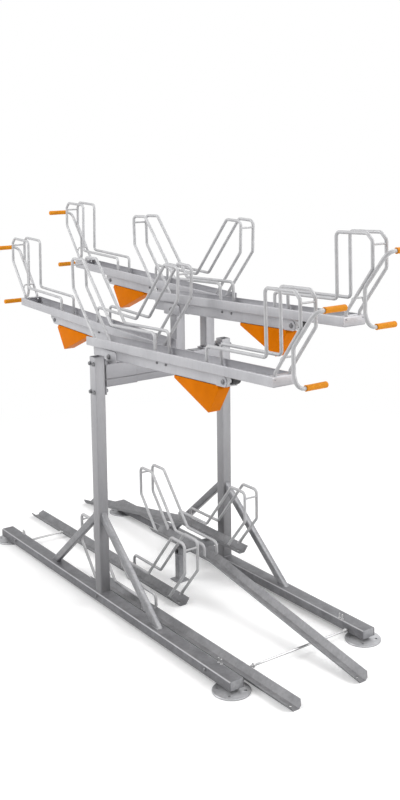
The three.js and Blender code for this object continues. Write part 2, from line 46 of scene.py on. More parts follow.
camera_heading = math.radians(35.63)
camera_dip = math.radians(8.57)
camera_roll = math.radians(-0.64)
film_height = 36.0
focal_length = 46.77
picture_slide = -0.125


def in_scene(name, data):
    """A new object in the scene."""
    thing = bpy.data.objects.new(name, data)
    bpy.context.scene.collection.objects.link(thing)
    return thing


lens = bpy.data.cameras.new("camera")
lens.sensor_fit = "VERTICAL"
lens.sensor_height = film_height
lens.lens = focal_length
lens.shift_y = picture_slide
camera = in_scene("camera", lens)
camera.matrix_world = (Matrix.Translation(camera_place)
                       @ Matrix.Rotation(math.pi / 2 - camera_heading, 4, "Z")
                       @ Matrix.Rotation(math.pi / 2 - camera_dip, 4, "X")
                       @ Matrix.Rotation(camera_roll, 4, "Z"))
bpy.context.scene.camera = camera


# The floor is pale and plain, and goes over into white away from the rack. A wide soft lamp
# stands on the near side, weaker ones behind, at the right end and overhead, and the rest is sky.
floor_half = 14.0
floor_drop = 0.0005
floor_colour = (0.93, 0.93, 0.93, 1)
floor_glow = 0.16
shadow_reach = (2.2, 4.2)
sky_level = 0.5
rack_middle = Vector((0, 0, 1.0))


def linked(tree, kind, sockets, out=0, **values):
    """The output of a new node of this kind, with its sockets set or linked and its own values set."""
    node = tree.nodes.new("ShaderNode" + kind)
    for name, value in values.items():
        setattr(node, name, value)
    for socket, value in sockets.items():
        if isinstance(value, bpy.types.NodeSocket):
            tree.links.new(value, node.inputs[socket])
        else:
            node.inputs[socket].default_value = value
    return node.outputs[out] if node.outputs else None


def new_nodes(owner):
    """The node tree of a new material or sky, with nothing in it."""
    owner.use_nodes = True
    owner.node_tree.nodes.clear()
    return owner.node_tree


def white_to_the_eye(tree):
    """One where a ray comes straight from the camera, or off metal or through glass."""
    path = tree.nodes.new("ShaderNodeLightPath").outputs
    seen = linked(tree, "Math", {0: path["Is Camera Ray"], 1: path["Is Glossy Ray"]}, operation="MAXIMUM")
    return linked(tree, "Math", {0: seen, 1: path["Is Transmission Ray"]}, operation="MAXIMUM")


def pale_floor():
    """Matt and pale with the rack's shadow, going over into plain white away from the rack."""
    material = bpy.data.materials.new("pale_floor")
    tree = new_nodes(material)
    place = linked(tree, "NewGeometry", {}, "Position")
    away = linked(tree, "VectorMath", {0: place}, "Value", operation="LENGTH")
    fade = linked(tree, "MapRange", {"Value": away, "From Min": shadow_reach[0], "From Max": shadow_reach[1]},
                  interpolation_type="SMOOTHSTEP")
    white = linked(tree, "Math", {0: fade, 1: white_to_the_eye(tree)}, operation="MULTIPLY")
    matt = linked(tree, "BsdfDiffuse", {"Color": floor_colour})
    eye = linked(tree, "LightPath", {}, "Is Camera Ray")
    lift = linked(tree, "Math", {0: eye, 1: floor_glow}, operation="MULTIPLY")
    near = linked(tree, "AddShader", {0: matt, 1: linked(tree, "Emission", {"Strength": lift})})
    both = linked(tree, "MixShader", {0: white, 1: near, 2: linked(tree, "Emission", {})})
    linked(tree, "OutputMaterial", {"Surface": both})
    return material


def lay_floor():
    """A wide sheet just under the rack."""
    sheet = bmesh.new()
    bmesh.ops.create_grid(sheet, x_segments=8, y_segments=8, size=floor_half)
    data = bpy.data.meshes.new("floor")
    sheet.to_mesh(data)
    sheet.free()
    data.materials.append(pale_floor())
    floor = in_scene("floor", data)
    floor.location.z = -floor_drop


def light_sky():
    """Plain white to the eye, and a soft grey light on the rack."""
    sky = bpy.data.worlds.new("sky")
    tree = new_nodes(sky)
    level = linked(tree, "MapRange", {"Value": white_to_the_eye(tree), "To Min": sky_level})
    ground = linked(tree, "Background", {"Strength": level, "Color": (1, 1, 1, 1)})
    linked(tree, "OutputWorld", {"Surface": ground})
    bpy.context.scene.world = sky


def soft_lamp(name, place, size, power):
    """A square lamp that faces the middle of the rack."""
    light = bpy.data.lights.new(name, "AREA")
    light.shape = "SQUARE"
    light.size = size
    light.energy = power
    lamp = in_scene(name, light)
    lamp.location = place
    lamp.rotation_euler = (rack_middle - Vector(place)).to_track_quat("-Z", "Y").to_euler()


lay_floor()
light_sky()
soft_lamp("near_lamp", (-1.6, -4.6, 4.2), 3.5, 215)
soft_lamp("back_lamp", (-1.5, 5.2, 3.4), 4.0, 60)
soft_lamp("end_lamp", (5.4, 2.6, 2.2), 3.0, 105)
soft_lamp("top_lamp", (2.0, 2.0, 5.6), 3.2, 120)
bpy.context.scene.view_settings.view_transform = "Standard"


# The foot beams are two channels folded from thick sheet, web up, with a flap folded down over
# each end, hot-dip galvanised. Bolts sit in the outer flange, and pairs of studs on the web.
beam_length = 2.350
beam_width = 0.080
beam_top = 0.070
beam_flange = 0.045
beam_sheet = 0.004
beam_bend = 0.009
row_half = 0.410
beam_bolts = (-0.985, 0.0, 0.985)
beam_bolt_height = 0.052
beam_bolt = (0.013, 0.005)
flap_inset = beam_sheet * 1.2
flap_proud = beam_sheet / 10
flap_drop = beam_sheet / 8
flap_ease = 0.0015
stud_places = (1.000, 1.020)
stud_inset = 0.010
stud_radius = 0.0035
stud_height = 0.026
edge_angle = math.radians(33)
bend_rise = 0.72
bend_spread = (0.12, 0.28)


def skin(mesh, rings, ends="shut"):
    """Walls from ring to ring of points. The ends are shut, or the last ring joins the first."""
    rows = [[mesh.verts.new(point) for point in ring] for ring in rings]
    turns = list(zip(rows, rows[1:] + (rows[:1] if ends == "looped" else [])))
    faces = []
    for row, following in turns:
        for i in range(len(row)):
            faces.append(mesh.faces.new((row[i - 1], row[i], following[i], following[i - 1])))
    if ends == "shut":
        faces.append(mesh.faces.new(reversed(rows[0])))
        faces.append(mesh.faces.new(rows[-1]))
    return faces


def arc_round(before, corner, after, radius, steps):
    """The bend at a corner, as places and headings along it."""
    back = (before - corner).normalized()
    ahead = (after - corner).normalized()
    half = back.angle(ahead) / 2
    turn = math.pi - 2 * half
    centre = corner + (back + ahead).normalized() * (radius / math.sin(half))
    start = corner + back * (radius / math.tan(half)) - centre
    end = corner + ahead * (radius / math.tan(half)) - centre
    bend = []
    for i in range(steps + 1):
        done = turn * i / steps
        left = turn - done
        spot = (start * math.sin(left) + end * math.sin(done)) / math.sin(turn)
        heading = (end * math.cos(done) - start * math.cos(left)).normalized()
        bend.append((centre + spot, heading))
    return bend


def bent_line(corners, radius, steps=5):
    """An open line through the corners, each inner one bent, as places and headings."""
    points = [Vector(corner) for corner in corners]
    line = [(points[0], (points[1] - points[0]).normalized())]
    for before, corner, after in zip(points, points[1:], points[2:]):
        line += arc_round(before, corner, after, radius, steps)
    return line + [(points[-1], (points[-1] - points[-2]).normalized())]


def folded(corners, thickness, radius, steps=4):
    """The section of a folded sheet: a line of corners, with its thickness to the left."""
    line = bent_line(corners, radius, steps)
    other = [place + Vector((-heading.y, heading.x)) * thickness for place, heading in line]
    return [place for place, heading in line] + other[::-1]


def along_x(mesh, section, x_from, x_to):
    """A section in Y and Z drawn out along X."""
    return skin(mesh, [[(x, y, z) for y, z in section] for x in (x_from, x_to)])


def eased(mesh, faces, width):
    """Takes the sharpness off the edges where these faces meet at a corner."""
    mesh.normal_update()
    edges = {edge for face in faces for edge in face.edges if edge.calc_face_angle(0) > edge_angle}
    bmesh.ops.bevel(mesh, geom=list(edges), offset=width, segments=2, profile=0.5, affect="EDGES")


def either_side(inner, outer):
    """The two spans between these distances from the middle: side, low end and high end."""
    return (-1, -outer, -inner), (1, inner, outer)


def block(mesh, low, high, ease=0.001):
    """A plate or bar between two corners, with its edges eased."""
    section = [(low[1], low[2]), (high[1], low[2]), (high[1], high[2]), (low[1], high[2])]
    eased(mesh, along_x(mesh, section, low[0], high[0]), ease)


def circle(centre, side, up, radius, sides):
    """Points round a centre, in the plane of side and up."""
    angles = [2 * math.pi * i / sides for i in range(sides)]
    return [centre + (side * math.cos(a) + up * math.sin(a)) * radius for a in angles]


def turned(mesh, profile, place=(0, 0, 0), axis=(0, 0, 1), sides=24, ends="shut"):
    """A profile of radii and places along an axis, turned about it."""
    axis = Vector(axis)
    side = Vector((axis.z, axis.x, axis.y))
    up = axis.cross(side)
    rings = [circle(Vector(place) + axis * along, side, up, radius, sides) for radius, along in profile]
    return skin(mesh, rings, ends)


def hex_bolt(mesh, place, axis, across=0.018, height=0.008):
    """A hexagon head on a plain washer, out along the axis, with a chamfer and a round raised middle."""
    washer = height / 4
    washer_edge = across * 0.62
    washer_rim = across * 0.64
    turned(mesh, [(washer_edge, 0), (washer_rim, washer / 2), (washer_edge, washer)], place, axis)
    corner = across / math.sqrt(3)
    top = washer + height
    chamfer = corner * 0.86
    turned(mesh, [(corner, washer), (corner, top - height / 5), (chamfer, top)], place, axis, sides=6)
    boss_foot = corner * 0.45
    boss_top = corner * 0.42
    turned(mesh, [(boss_foot, top), (boss_top, top + height / 12)], place, axis)


def plain_data(name, mesh):
    """Mesh data with its faces looking outward."""
    bmesh.ops.recalc_face_normals(mesh, faces=mesh.faces)
    data = bpy.data.meshes.new(name)
    mesh.to_mesh(data)
    mesh.free()
    return data


def set_up(places, name, mesh, material, slot, body, *stands_for):
    """Puts a piece in each of these places, on its body, instead of its plain solids. Its real edges are
    sharp and the rest is smooth. The words of a place's name go in where the other names have {}."""
    data = plain_data(name.replace("{}_", ""), mesh)
    data.shade_smooth()
    data.set_sharp_from_angle(angle=edge_angle)
    data.materials.append(material)
    for spot, place in places.items():
        words = spot.split()
        thing = in_scene(name.format(*words), data)
        thing.matrix_world = place
        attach(thing, body.format(*words))
        if stands_for:
            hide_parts(*[node.format(*words) for node in stands_for])


def clouded(name, tones, patch, shine, grain, stretch=(1, 1, 1), depth=5, rough=0.6, spread=0.18, fine=3):
    """A finish of two tones in cloudy patches, with a gloss that follows them and a fine grain in the
    surface. It gives the material, the places that its patterns are drawn at, and the patches' colour."""
    material = bpy.data.materials.new(name)
    material.use_nodes = True
    tree = material.node_tree
    shader = tree.nodes["Principled BSDF"].inputs
    drawn = linked(tree, "Mapping", {"Vector": linked(tree, "TexCoord", {}, "Object"), "Scale": stretch})
    cloud = linked(tree, "TexNoise",
                   {"Vector": drawn, "Scale": 1 / patch, "Detail": depth, "Roughness": rough})
    share = linked(tree, "MapRange", {"Value": cloud, "From Min": 0.5 - spread, "From Max": 0.5 + spread})
    base = linked(tree, "Mix", {0: share, 6: (*tones[0], 1), 7: (*tones[1], 1)}, 2, data_type="RGBA")
    dull = linked(tree, "MapRange", {"Value": cloud, "To Min": shine[0], "To Max": shine[1]})
    tree.links.new(dull, shader["Roughness"])
    rise = linked(tree, "TexNoise", {"Vector": drawn, "Scale": 1 / grain[0], "Detail": fine})
    bump = linked(tree, "Bump", {"Height": rise, "Strength": grain[1], "Distance": grain[0] / 2})
    tree.links.new(bump, shader["Normal"])
    return material, drawn, base


def metal_finish(name, tones, patch=0.09, fleck=(0.012, 0.10), stretch=(1, 1, 1), metallic=0.45,
                 shine=(0.38, 0.56), grain=(0.0016, 0.12), painted_bend_highlight=None, painted_bottom_shade=None):
    """Cloudy metal with flecks of single crystals. A highlight tone, where given, is a painted highlight on a
    bend between an upright face and a level one. Two heights and a share, where given, paint a dark
    reflection:
    the tones darken from the higher height down to the lower one, where only that share of them is left."""
    material, drawn, base = clouded(name, tones, patch, shine, grain, stretch)
    tree = material.node_tree
    # Painted highlight: a lighter tone where the normal rises about bend_rise, as on the bends.
    if painted_bend_highlight:
        rise = linked(tree, "SeparateXYZ", {0: linked(tree, "TexCoord", {}, "Normal")}, 2)
        over = linked(tree, "Math", {0: rise, 1: bend_rise}, operation="SUBTRACT")
        away = linked(tree, "Math", {0: over}, operation="ABSOLUTE")
        near, far = bend_spread
        highlight_share = linked(tree, "MapRange",
                      {"Value": away, "From Min": near, "From Max": far, "To Min": 1, "To Max": 0})
        base = linked(tree, "Mix", {0: highlight_share, 6: base, 7: (*painted_bend_highlight, 1)}, 2, data_type="RGBA")
    # Painted shade: the tones darken towards the bottom, a painted dark reflection of what lies below.
    if painted_bottom_shade:
        low, high, left = painted_bottom_shade
        rise = linked(tree, "SeparateXYZ", {0: linked(tree, "TexCoord", {}, "Object")}, 2)
        kept = linked(tree, "MapRange", {"Value": rise, "From Min": low, "From Max": high, "To Min": left})
        base = linked(tree, "VectorMath", {0: base, "Scale": kept}, operation="SCALE")
    crystal = linked(tree, "TexVoronoi", {"Vector": drawn, "Scale": 1 / fleck[0]}, "Color")
    glint = linked(tree, "RGBToBW", {0: crystal})
    level = linked(tree, "MapRange", {"Value": glint, "To Min": 1 - fleck[1], "To Max": 1 + fleck[1]})
    flecked = linked(tree, "VectorMath", {0: base, "Scale": level}, operation="SCALE")
    shader = tree.nodes["Principled BSDF"].inputs
    tree.links.new(flecked, shader["Base Color"])
    shader["Metallic"].default_value = metallic
    return material


def bolt_finish(name, tones, metallic, shine):
    """Zinc plate on bolts, nuts and rods, in patches of a few millimetres."""
    return metal_finish(name, tones, patch=0.012, fleck=(0.004, 0.08), metallic=metallic, shine=shine,
                        grain=(0.0008, 0.15))


def dipped_finish(name, tones, painted_bend_highlight=None):
    """Dull zinc on folded sheet that was dipped. Its dark tones near the floor are painted shade."""
    return metal_finish(name, tones, patch=0.07, fleck=(0.010, 0.08), metallic=0.35, shine=(0.42, 0.56),
                        grain=(0.0016, 0.10), painted_bend_highlight=painted_bend_highlight)


galvanised = metal_finish("galvanised", ((0.235, 0.237, 0.25), (0.36, 0.362, 0.375)))
bolt_zinc = bolt_finish("bolt_zinc", ((0.46, 0.46, 0.47), (0.62, 0.62, 0.62)), 0.7, shine=(0.24, 0.38))
dark_zinc = bolt_finish("dark_zinc", ((0.17, 0.17, 0.175), (0.25, 0.25, 0.26)), 0.6, shine=(0.30, 0.44))
# Painted shade and highlight: the foot channels' tones are dark for shade near the floor, with a painted
# highlight on their bends.
shade_and_highlight_zinc = dipped_finish("shade_and_highlight_zinc", ((0.12, 0.12, 0.128), (0.19, 0.19, 0.20)), painted_bend_highlight=(0.42, 0.42, 0.43))

half_width = beam_width / 2
flange_foot = beam_top - beam_flange
channel_corners = [(half_width, flange_foot), (half_width, beam_top), (-half_width, beam_top),
                   (-half_width, flange_foot)]
beam = bmesh.new()
along_x(beam, folded(channel_corners, beam_sheet, beam_bend), -beam_length / 2, beam_length / 2)
flap_half = half_width - flap_inset
flap_face = beam_length / 2 + flap_proud
flaps = bmesh.new()
for side, low, high in either_side(flap_face - beam_sheet, flap_face):
    block(flaps, (low, -flap_half, flange_foot), (high, flap_half, beam_top - flap_drop), flap_ease)
beam_fasteners = bmesh.new()
for x in beam_bolts:
    hex_bolt(beam_fasteners, (x, -half_width, beam_bolt_height), (0, -1, 0), *beam_bolt)
studs = bmesh.new()
for end in (-1, 1):
    for x in stud_places:
        spot = (end * x, half_width - stud_inset, beam_top)
        hex_bolt(studs, spot, (0, 0, 1), 3 * stud_radius, stud_radius)
        stud = [(stud_radius, 0), (stud_radius, stud_height - stud_radius / 2),
                (stud_radius / 2, stud_height)]
        turned(studs, stud, spot, sides=16)

as_made = {"": Matrix()}
half_turn = Matrix.Rotation(math.pi, 4, "Z")
rows = {"near": Matrix.Translation((0, -row_half, 0)),
        "far": Matrix.Translation((0, row_half, 0)) @ half_turn}
set_up(rows, "{}_channel", beam, shade_and_highlight_zinc, "zinc_grey", "frame", "foot_beam_{}")
set_up(rows, "{}_channel_flaps", flaps, galvanised, "zinc_grey", "frame")
set_up(rows, "{}_channel_bolts", beam_fasteners, dark_zinc, "bright_tube", "frame")
set_up(rows, "{}_channel_studs", studs, bolt_zinc, "bright_tube", "frame")


# The floor feet are round plates turned from steel bar, each with a screwed stem and nut that
# level the rack, and four holes for floor anchors. They sit under the ends of the beams.
foot_radius = 0.090
foot_plate = 0.008
foot_edge = 0.003
foot_hollow = foot_radius * 0.4
foot_boss = foot_radius * 0.42
foot_boss_top = foot_radius * 0.36
foot_inset = 0.040
foot_stem = 0.015
thread_pitch = 0.003
foot_nut_across = 0.046
foot_nut_height = 0.012
foot_hole = 0.007
foot_hole_circle = 0.065
seat_gap = 0.0003


def drilled(mesh, holes, onto=None):
    """Cuts one mesh out of another, and adds what is left to a third where there is one."""
    blank = in_scene("blank", plain_data("blank", mesh))
    cutter = in_scene("cutter", plain_data("cutter", holes))
    cut = blank.modifiers.new("cut", "BOOLEAN")
    cut.solver = "EXACT"
    cut.object = cutter
    whole = bpy.data.meshes.new_from_object(blank.evaluated_get(bpy.context.evaluated_depsgraph_get()))
    result = onto or bmesh.new()
    result.from_mesh(whole)
    for data in (blank.data, cutter.data, whole):
        bpy.data.meshes.remove(data)
    return result


foot = bmesh.new()
disc = [(foot_hollow, 0), (foot_radius - foot_edge / 3, 0), (foot_radius, foot_edge),
        (foot_radius, foot_plate - foot_edge), (foot_radius - foot_edge, foot_plate),
        (foot_boss, foot_plate), (foot_boss_top, foot_plate + foot_edge)]
turned(foot, disc, sides=64)
anchor_holes = bmesh.new()
for i in range(4):
    angle = (i + 0.5) * math.pi / 2
    spot = (foot_hole_circle * math.cos(angle), foot_hole_circle * math.sin(angle), 0)
    turned(anchor_holes, [(foot_hole, -foot_plate), (foot_hole, 2 * foot_plate)], spot)
foot = drilled(foot, anchor_holes)
nut_radius = foot_nut_across / 2
nut_top = foot_plate + foot_nut_height
nut_seat = nut_radius * 0.94
nut_chamfer = nut_radius * 0.9
nut = [(nut_seat, foot_plate), (nut_radius, foot_plate + foot_edge / 2),
       (nut_radius, nut_top - foot_edge / 2), (nut_chamfer, nut_top)]
turned(foot, nut, sides=6)
stem_top = beam_top - beam_sheet - seat_gap
root = foot_stem - thread_pitch / 2
thread = [(root, nut_top - thread_pitch)]
while thread[-1][1] + 2 * thread_pitch < stem_top:
    thread.append((foot_stem, thread[-1][1] + thread_pitch / 2))
    thread.append((root, thread[-1][1] + thread_pitch / 2))
turned(foot, thread + [(root, stem_top)])
foot_zinc = metal_finish("foot_zinc", ((0.34, 0.342, 0.355), (0.48, 0.482, 0.495)))
beam_ends = [(row, side, name, end) for row, side in (("near", -1), ("far", 1))
             for name, end in (("right", 1), ("left", -1))]
foot_out = beam_length / 2 - foot_inset
foot_places = {f"{row}_{name}": Matrix.Translation((end * foot_out, side * row_half, 0))
               for row, side, name, end in beam_ends}
set_up(foot_places, "{}_foot", foot, foot_zinc, "zinc_grey", "frame", "floor_foot_{}")


# The posts are square steel tubes welded to the middle of the foot beams, open at the top.
# Two pairs of bolts go right through each of them and hold the cross beam's end plates.
post_size = 0.060
post_wall = 0.004
post_corner = 0.007
post_top = 1.355
post_bolt_heights = (1.170, 1.320)
post_bolt_half_pitch = 0.018
bead = 0.0035
small_bead = bead * 0.8
bead_spacing = 1.3
bead_ripple = 0.14
bead_step = 2.2


def rolled_finish(name, tones, stretch=(1, 1, 0.22), painted_bottom_shade=None):
    """Galvanised rolled steel, its faint patches drawn out along the piece."""
    return metal_finish(name, tones, patch=0.16, fleck=(0.006, 0.035), stretch=stretch, metallic=0.4,
                        shine=(0.32, 0.44), grain=(0.0011, 0.08), painted_bottom_shade=painted_bottom_shade)


def rounded_box(width, height, radius, steps=4):
    """The outline of a rectangular tube about the origin."""
    x = width / 2
    y = height / 2
    corners = [Vector(corner) for corner in ((x, y), (-x, y), (-x, -y), (x, -y))]
    outline = []
    for i in range(4):
        bend = arc_round(corners[i - 1], corners[i], corners[(i + 1) % 4], radius, steps)
        outline += [spot for spot, heading in bend]
    return outline


def weld(mesh, loop, size=bead):
    """A rippled bead along a closed loop of points."""
    points = [Vector(point) for point in loop]
    spots = []
    for start, end in zip(points, points[1:] + points[:1]):
        count = max(1, round((end - start).length / (size * bead_spacing)))
        spots += [start.lerp(end, i / count) for i in range(count)]
    rings = []
    count = len(spots)
    for i, spot in enumerate(spots):
        heading = (spots[(i + 1) % count] - spots[i - 1]).normalized()
        side = heading.orthogonal().normalized()
        swell = size * (1 + bead_ripple * math.sin(bead_step * i))
        rings.append(circle(spot, side, heading.cross(side), swell, sides=6))
    skin(mesh, rings, "looped")


def square_tube(mesh, size, wall, corner, place_at, ends, welds=()):
    """A hollow tube. place_at turns a point of its section and an end into a point in space. welds
    are ends with the size of the bead round each."""
    width, depth = size
    outer = rounded_box(width, depth, corner)
    inner = rounded_box(width - 2 * wall, depth - 2 * wall, max(corner - wall, wall / 3))
    rings = [[place_at(point, end) for point in outer] for end in ends]
    rings += [[place_at(point, end) for point in inner] for end in reversed(ends)]
    skin(mesh, rings, "looped")
    for end, bead_size in welds:
        weld(mesh, [place_at(point, end) for point in outer], bead_size)


# The posts' tones darken towards the bottom: a painted dark reflection from below.
post_steel = rolled_finish("post_steel", ((0.38, 0.378, 0.395), (0.46, 0.458, 0.475)),
                           painted_bottom_shade=(0.1, 1.3, 0.45))
post = bmesh.new()
square_tube(post, (post_size, post_size), post_wall, post_corner,
            lambda point, z: (point.x, point.y, z), (beam_top, post_top), [(beam_top, bead)])
post_bolts = [(x, z) for z in post_bolt_heights for x in (-post_bolt_half_pitch, post_bolt_half_pitch)]
post_fasteners = bmesh.new()
for x, z in post_bolts:
    hex_bolt(post_fasteners, (x, -post_size / 2, z), (0, -1, 0))
set_up(rows, "{}_upright", post, post_steel, "light_steel", "frame", "post_{}")
set_up(rows, "{}_upright_bolts", post_fasteners, dark_zinc, "bright_tube", "frame")


# The braces are flat-sided steel tubes between post and foot beam, galvanised. Their ends are
# cut to seat flush on the post's face and on the web, and are welded all round.
brace_depth = 0.040
brace_width = 0.030
brace_wall = 0.003
brace_corner = 0.006
brace_foot = 0.530
brace_head = 0.490

brace_inset = post_size / 2 + seat_gap
brace_top = Vector((brace_inset, 0, brace_head))
brace_end = Vector((brace_foot, 0, beam_top))
brace_run = (brace_end - brace_top).normalized()
brace_across = Vector((brace_run.z, 0, -brace_run.x))


def on_brace(point, end):
    """A point of the section slid along the brace to the post's face or to the web."""
    spot = brace_top + Vector((0, point.y, 0)) + brace_across * point.x
    if end == "head":
        return spot + brace_run * ((brace_inset - spot.x) / brace_run.x)
    return spot + brace_run * ((beam_top - spot.z) / brace_run.z)


brace_zinc = metal_finish("brace_zinc", ((0.19, 0.19, 0.20), (0.27, 0.27, 0.28)), metallic=0.5,
                          shine=(0.30, 0.42), grain=(0.0016, 0.08))
brace = bmesh.new()
square_tube(brace, (brace_depth, brace_width), brace_wall, brace_corner, on_brace, ("head", "foot"),
            [("head", small_bead), ("foot", small_bead)])
side_turns = {1: Matrix(), -1: half_turn}
brace_places = {f"{row}_{name}": Matrix.Translation((0, side * row_half, 0)) @ side_turns[end]
                for row, side, name, end in beam_ends}
set_up(brace_places, "{}_stay", brace, brace_zinc, "zinc_grey", "frame", "brace_{}")


# The cross beam joins the posts: a tall steel tube with a groove rolled along each side, a
# sleeve over each end and welded end plates with nuts for the bolts through the posts.
cross_top = 1.315
cross_height = 0.125
cross_depth = 0.060
cross_corner = 0.006
cross_groove_height = 0.042
cross_groove = 0.003
sleeve_length = 0.195
sleeve_wall = 0.003
sleeve_bead = 0.0022
end_plate = 0.008
end_plate_ease = 0.0015
plate_rise = 0.025
plate_drop = 0.040

cross_reach = row_half - post_size / 2
cross_bottom = cross_top - cross_height


def grooved_section(inset=0):
    """The cross beam's outline in X and Z, with a groove in each side. An inset leaves its top as it is."""
    half = cross_depth / 2 - inset
    low = cross_bottom + inset
    groove = cross_bottom + cross_groove_height
    line = bent_line([(0, low), (half, low), (half, groove - cross_groove)], cross_corner, steps=4)
    right = [spot for spot, heading in line] + [Vector((half - cross_groove, groove))]
    top_corners = [(half, groove + cross_groove), (half, cross_top), (0, cross_top)]
    line = bent_line(top_corners, cross_corner, steps=4)
    right += [spot for spot, heading in line]
    return right + [Vector((-spot.x, spot.y)) for spot in right[-2:0:-1]]


def along_y(mesh, section, y_from, y_to):
    """A section in X and Z drawn out along Y."""
    return skin(mesh, [[(x, y, z) for x, z in section] for y in (y_from, y_to)])


cross = bmesh.new()
sleeve_start = cross_reach - sleeve_length
along_y(cross, grooved_section(sleeve_wall), -sleeve_start, sleeve_start)
cross_nuts = bmesh.new()
for end, low, high in either_side(cross_reach - end_plate, cross_reach):
    sleeve_end = end * sleeve_start
    along_y(cross, grooved_section(), sleeve_end, end * cross_reach)
    weld(cross, [(x, sleeve_end, z) for x, z in grooved_section(sleeve_bead / 2)], sleeve_bead)
    block(cross, (-cross_depth / 2, low, cross_bottom - plate_drop),
          (cross_depth / 2, high, cross_top + plate_rise), end_plate_ease)
    for x, z in post_bolts:
        hex_bolt(cross_nuts, (x, end * (cross_reach - end_plate), z), (0, -end, 0))
cross_steel = rolled_finish("cross_steel", ((0.29, 0.288, 0.305), (0.35, 0.348, 0.365)), (1, 0.22, 1))
set_up(as_made, "beam_across", cross, cross_steel, "light_steel", "frame", "cross_beam")
set_up(as_made, "beam_across_nuts", cross_nuts, galvanised, "bright_tube", "frame")


# The support arm carries the raised gutters: a square steel tube from the far post to a leg
# with a foot plate, all welded and galvanised.
arm_size = 0.040
arm_wall = 0.003
arm_corner = 0.005
arm_foot_size = 0.080
arm_foot_plate = 0.006
arm_bead = bead * 0.6
gutter_top_half = 0.043
ramp_top = 0.195
lane_pitch = 0.200
lower_lane_shift = 0.015


def upper_lane(level, side):
    """Lane of a tray along Y. Level 0 is the low pair, 1 the high pair; side 1 faces +X."""
    return (4 * level - 2 - side) * lane_pitch / 2


def lower_lane(level, side):
    """Lane of a gutter along Y."""
    return upper_lane(level, side) + lower_lane_shift


arm_end = lower_lane(1, 1) - gutter_top_half
arm_face = row_half - post_size / 2 - seat_gap
arm_top = ramp_top - seat_gap
arm_middle = arm_top - arm_size / 2
leg_middle = arm_end + arm_size / 2
arm = bmesh.new()
square_tube(arm, (arm_size, arm_size), arm_wall, arm_corner,
            lambda point, y: (point.x, y, arm_middle + point.y), (arm_end, arm_face),
            [(arm_face - bead, small_bead)])
arm_bottom = arm_top - arm_size
square_tube(arm, (arm_size, arm_size), arm_wall, arm_corner,
            lambda point, z: (point.x, leg_middle + point.y, z), (arm_foot_plate / 2, arm_bottom + arm_wall),
            [(arm_foot_plate, small_bead), (arm_bottom, arm_bead)])
plate_half = arm_foot_size / 2
block(arm, (-plate_half, leg_middle - plate_half, 0), (plate_half, leg_middle + plate_half, arm_foot_plate))
set_up(as_made, "gutter_arm", arm, galvanised, "zinc_grey", "frame", "support_arm")


# The tie rods are round steel bars with screwed ends, zinc plated, that hold the gutters to the
# foot beams, with a nut and washer where they meet a gutter's side and a beam's flange.
tie_rod = 0.006
right_rod_at = 1.065
left_rod_at = -0.980
tie_rod_height = 0.034
tie_nut = (0.018, 0.007)
tie_nut_inset = 0.012
tie_pitch = 0.0025
tie_thread = 0.050

beam_face = row_half - beam_width / 2 - seat_gap
gutter_wall = gutter_top_half + seat_gap


def screwed_rod(mesh, place, length):
    """A round bar along Y with a screw thread and a nut near each end."""
    root = tie_rod - tie_pitch / 4
    profile = [(root, 0)]
    for start in (0, length - tie_thread):
        if start:
            profile += [(tie_rod, tie_thread), (tie_rod, start)]
        for i in range(int(tie_thread / tie_pitch) - 1):
            profile += [(tie_rod, start + (i + 0.5) * tie_pitch),
                        (tie_rod - tie_pitch / 3, start + (i + 1) * tie_pitch)]
    profile.append((root, length))
    turned(mesh, profile, place, (0, 1, 0), sides=16)
    for along, way in ((tie_nut_inset, 1), (length - tie_nut_inset, -1)):
        hex_bolt(mesh, Vector(place) + Vector((0, along, 0)), (0, way, 0), *tie_nut)


for name, x, y_from, y_to in (
    ("right", right_rod_at, lower_lane(0, 1) + gutter_wall, beam_face),
    ("left", left_rod_at, -beam_face, lower_lane(0, -1) - gutter_wall),
):
    rod = bmesh.new()
    screwed_rod(rod, (x, y_from, tie_rod_height), y_to - y_from)
    set_up({name: Matrix()}, "{}_tie", rod, bolt_zinc, "zinc_grey", "frame", "tie_rod_{}")


# The lower gutters are flared troughs rolled from sheet and galvanised, flat on the floor in the
# near half and up a ramp onto the support arm in the far half. Their ends are clipped and drilled.
gutter_reach = 1.434
gutter_inner = 0.285
gutter_floor_half = 0.018
gutter_height = 0.032
gutter_sheet = 0.003
gutter_bend = 0.006
gutter_corner_run = 0.020
gutter_corner_foot = 0.014
gutter_hole = 0.0065
gutter_hole_inset = 0.038
ramp_start = 0.285
ramp_bend = 0.200


def crossed_at(section, height):
    """The same outline with a point wherever it crosses this height."""
    outline = []
    for before, point in zip(section[-1:] + section, section):
        if (before.y - height) * (point.y - height) < 0:
            outline.append(before.lerp(point, (height - before.y) / (point.y - before.y)))
        outline.append(point)
    return outline


gutter_corners = [(-gutter_top_half, gutter_height), (-gutter_floor_half, 0), (gutter_floor_half, 0),
                  (gutter_top_half, gutter_height)]
gutter_section = crossed_at(folded(gutter_corners, gutter_sheet, gutter_bend), gutter_corner_foot)


def gutter_ring(place, heading, clipped):
    """The gutter's section square to its run. At its outer end the walls' corners are cut off."""
    up = Vector((-heading.z, 0, heading.x))
    if up.z < 0:
        up = -up
    slope = gutter_corner_run / (gutter_height - gutter_corner_foot) if clipped else 0
    ring = []
    for y, z in gutter_section:
        clip = max(0, z - gutter_corner_foot) * slope
        ring.append(place + Vector((0, y, 0)) + up * z + heading * clip)
    return ring


def gutter(corners):
    """A gutter through these corners, with a hole at each end."""
    line = bent_line(corners, ramp_bend, steps=6)
    rings = [gutter_ring(place, heading, i == 0) for i, (place, heading) in enumerate(line)]
    mesh = bmesh.new()
    skin(mesh, rings)
    holes = bmesh.new()
    for (place, heading), way in ((line[0], 1), (line[-1], -1)):
        up = Vector((-heading.z, 0, heading.x))
        spot = place + heading * way * gutter_hole_inset
        through = [(gutter_hole, -gutter_height), (gutter_hole, gutter_height)]
        turned(holes, through, spot, up.normalized(), sides=16)
    return drilled(mesh, holes)


